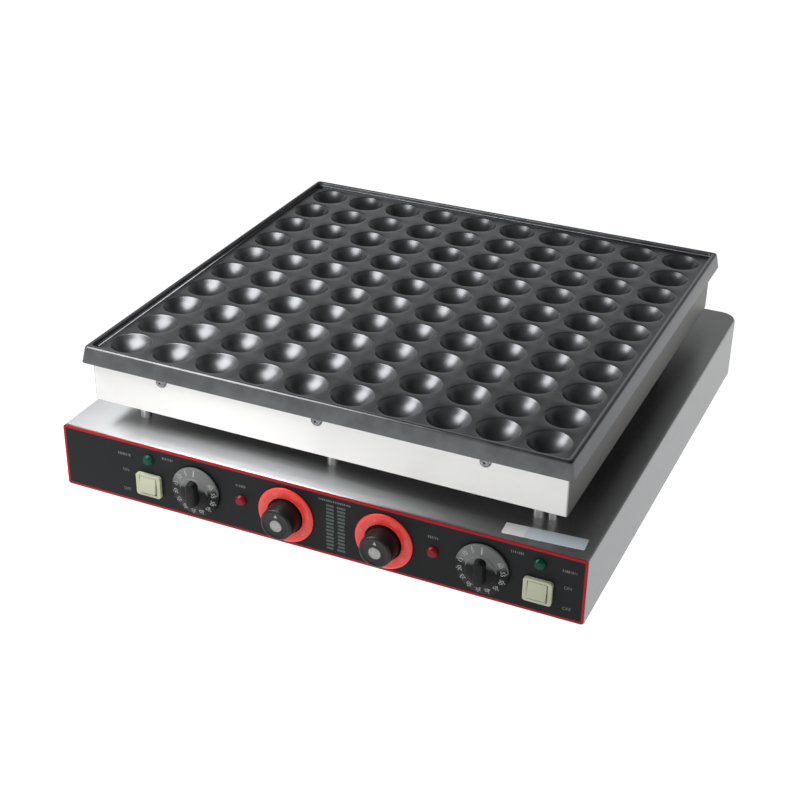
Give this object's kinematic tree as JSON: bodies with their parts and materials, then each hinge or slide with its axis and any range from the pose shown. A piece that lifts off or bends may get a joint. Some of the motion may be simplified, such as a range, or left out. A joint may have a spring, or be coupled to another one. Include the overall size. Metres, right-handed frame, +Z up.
{
  "type": "takoyaki maker",
  "caption": "Electric countertop griddle with a cast plate of round bowls, held on posts over a flat stainless base with knobs and switches.",
  "frame": {"origin": "middle of the object's box in plan, on the surface that the feet stand on", "axes": "+X to the right seen from the front, +Y to the rear, +Z up"},
  "size_m": [0.57, 0.612, 0.174],
  "materials": {
    "stainless": "satin",
    "galvanised": "matte",
    "panel_black": "satin",
    "nonstick": "satin",
    "rubber": "matte",
    "knob_black": "satin",
    "dial_black": "gloss",
    "ring_red": "gloss",
    "switch_cream": "satin",
    "lens_green": "gloss",
    "lens_red": "gloss",
    "lamp_body": "matte",
    "zinc": "satin",
    "nylon": "matte",
    "melamine": "matte",
    "ceramic_fibre": "matte",
    "element_sheath": "matte",
    "copper_bulb": "satin"
  },
  "bodies": {
    "body": {"base_shell": "stainless", "base_cover": "galvanised", "control_panel": "panel_black", "head_casing": "stainless", "cooking_plate": "nonstick", "wire_conduit": "stainless", "insulation_board": "ceramic_fibre", "terminal_block": "melamine", "gland_body": "nylon", "gland_cap": "nylon", "gland_locknut": "nylon", "bonding_stud": "zinc", "clamp_bolts": "zinc", "foot_front_left": "rubber", "foot_front_right": "rubber", "post_front_left": "stainless", "post_front_middle": "stainless", "post_front_right": "stainless", "foot_rear_left": "rubber", "foot_rear_right": "rubber", "post_rear_left": "stainless", "post_rear_middle": "stainless", "post_rear_right": "stainless", "clamp_bar_front": "zinc", "clamp_bar_middle": "zinc", "clamp_bar_rear": "zinc", "thermostat_left": "zinc", "scale_ring_left": "ring_red", "timer_left": "zinc", "switch_housing_left": "switch_cream", "power_lens_left": "lens_green", "power_lamp_left": "lamp_body", "heat_lens_left": "lens_red", "heat_lamp_left": "lamp_body", "heating_element_left": "element_sheath", "thermostat_bulb_left": "copper_bulb", "thermostat_right": "zinc", "scale_ring_right": "ring_red", "timer_right": "zinc", "switch_housing_right": "switch_cream", "power_lens_right": "lens_green", "power_lamp_right": "lamp_body", "heat_lens_right": "lens_red", "heat_lamp_right": "lamp_body", "heating_element_right": "element_sheath", "thermostat_bulb_right": "copper_bulb"},
    "thermostat_dial_left": {"thermostat_knob_left": "knob_black", "thermostat_shaft_left": "zinc"},
    "timer_dial_left": {"timer_knob_left": "dial_black", "timer_shaft_left": "zinc"},
    "switch_rocker_left": {"rocker_left": "switch_cream"},
    "thermostat_dial_right": {"thermostat_knob_right": "knob_black", "thermostat_shaft_right": "zinc"},
    "timer_dial_right": {"timer_knob_right": "dial_black", "timer_shaft_right": "zinc"},
    "switch_rocker_right": {"rocker_right": "switch_cream"}
  },
  "joints": [
    {"name": "thermostat_turn_left", "type": "hinge", "parent": "body", "child": "thermostat_dial_left", "pos_m": [-0.0247, -0.2835, 0.046], "axis": [0, 1, 0], "range_deg": [0, 300]},
    {"name": "timer_turn_left", "type": "hinge", "parent": "body", "child": "timer_dial_left", "pos_m": [-0.1268, -0.2835, 0.046], "axis": [0, 1, 0], "range_deg": [0, 300]},
    {"name": "switch_rock_left", "type": "hinge", "parent": "body", "child": "switch_rocker_left", "pos_m": [-0.1825, -0.282, 0.038], "axis": [1, 0, 0], "range_deg": [0, 20]},
    {"name": "thermostat_turn_right", "type": "hinge", "parent": "body", "child": "thermostat_dial_right", "pos_m": [0.0817, -0.2835, 0.046], "axis": [0, 1, 0], "range_deg": [0, 300]},
    {"name": "timer_turn_right", "type": "hinge", "parent": "body", "child": "timer_dial_right", "pos_m": [0.1838, -0.2835, 0.046], "axis": [0, 1, 0], "range_deg": [0, 300]},
    {"name": "switch_rock_right", "type": "hinge", "parent": "body", "child": "switch_rocker_right", "pos_m": [0.2395, -0.282, 0.038], "axis": [1, 0, 0], "range_deg": [0, 20]}
  ]
}
